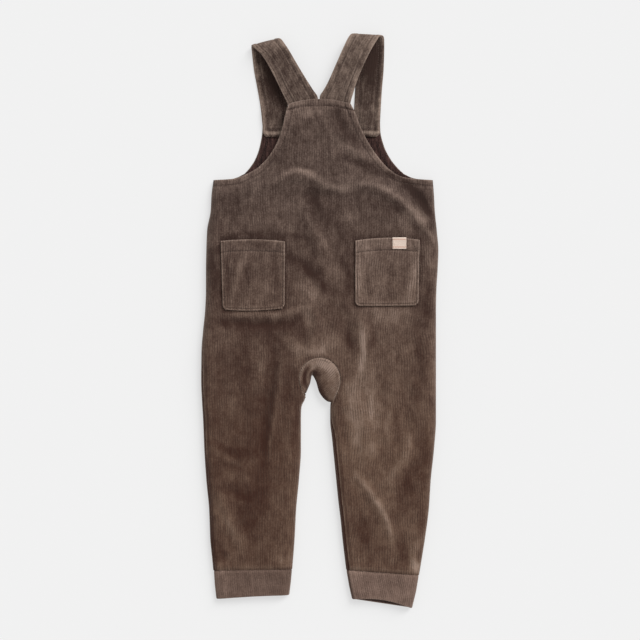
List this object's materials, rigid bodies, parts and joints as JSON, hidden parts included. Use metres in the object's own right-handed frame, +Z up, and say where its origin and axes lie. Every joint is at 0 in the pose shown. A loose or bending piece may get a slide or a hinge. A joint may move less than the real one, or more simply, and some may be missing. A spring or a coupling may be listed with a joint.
{
  "type": "toddler overalls",
  "caption": "Fine-wale corduroy overalls for a toddler, laid flat with the back up: folded straps, patch pockets, small label, crotch gusset, cuff bands and open legs.",
  "frame": {"origin": "middle of the underside of the whole garment's box", "axes": "+Y runs from the cuffs to the straps, +Z is up from the surface that the garment lies on, +X is to the right seen from above"},
  "size_m": [0.2968, 0.7191, 0.0191],
  "materials": {
    "corduroy": "brushed",
    "cuff_corduroy": "brushed",
    "woven_label": "matte"
  },
  "bodies": {
    "root": {"back_panel": "corduroy", "front_panel": "corduroy", "gusset": "corduroy", "pocket_left": "corduroy", "pocket_right": "corduroy", "strap_left": "corduroy", "strap_right": "corduroy", "cuff_left": "cuff_corduroy", "cuff_right": "cuff_corduroy", "label": "woven_label"}
  },
  "joints": []
}
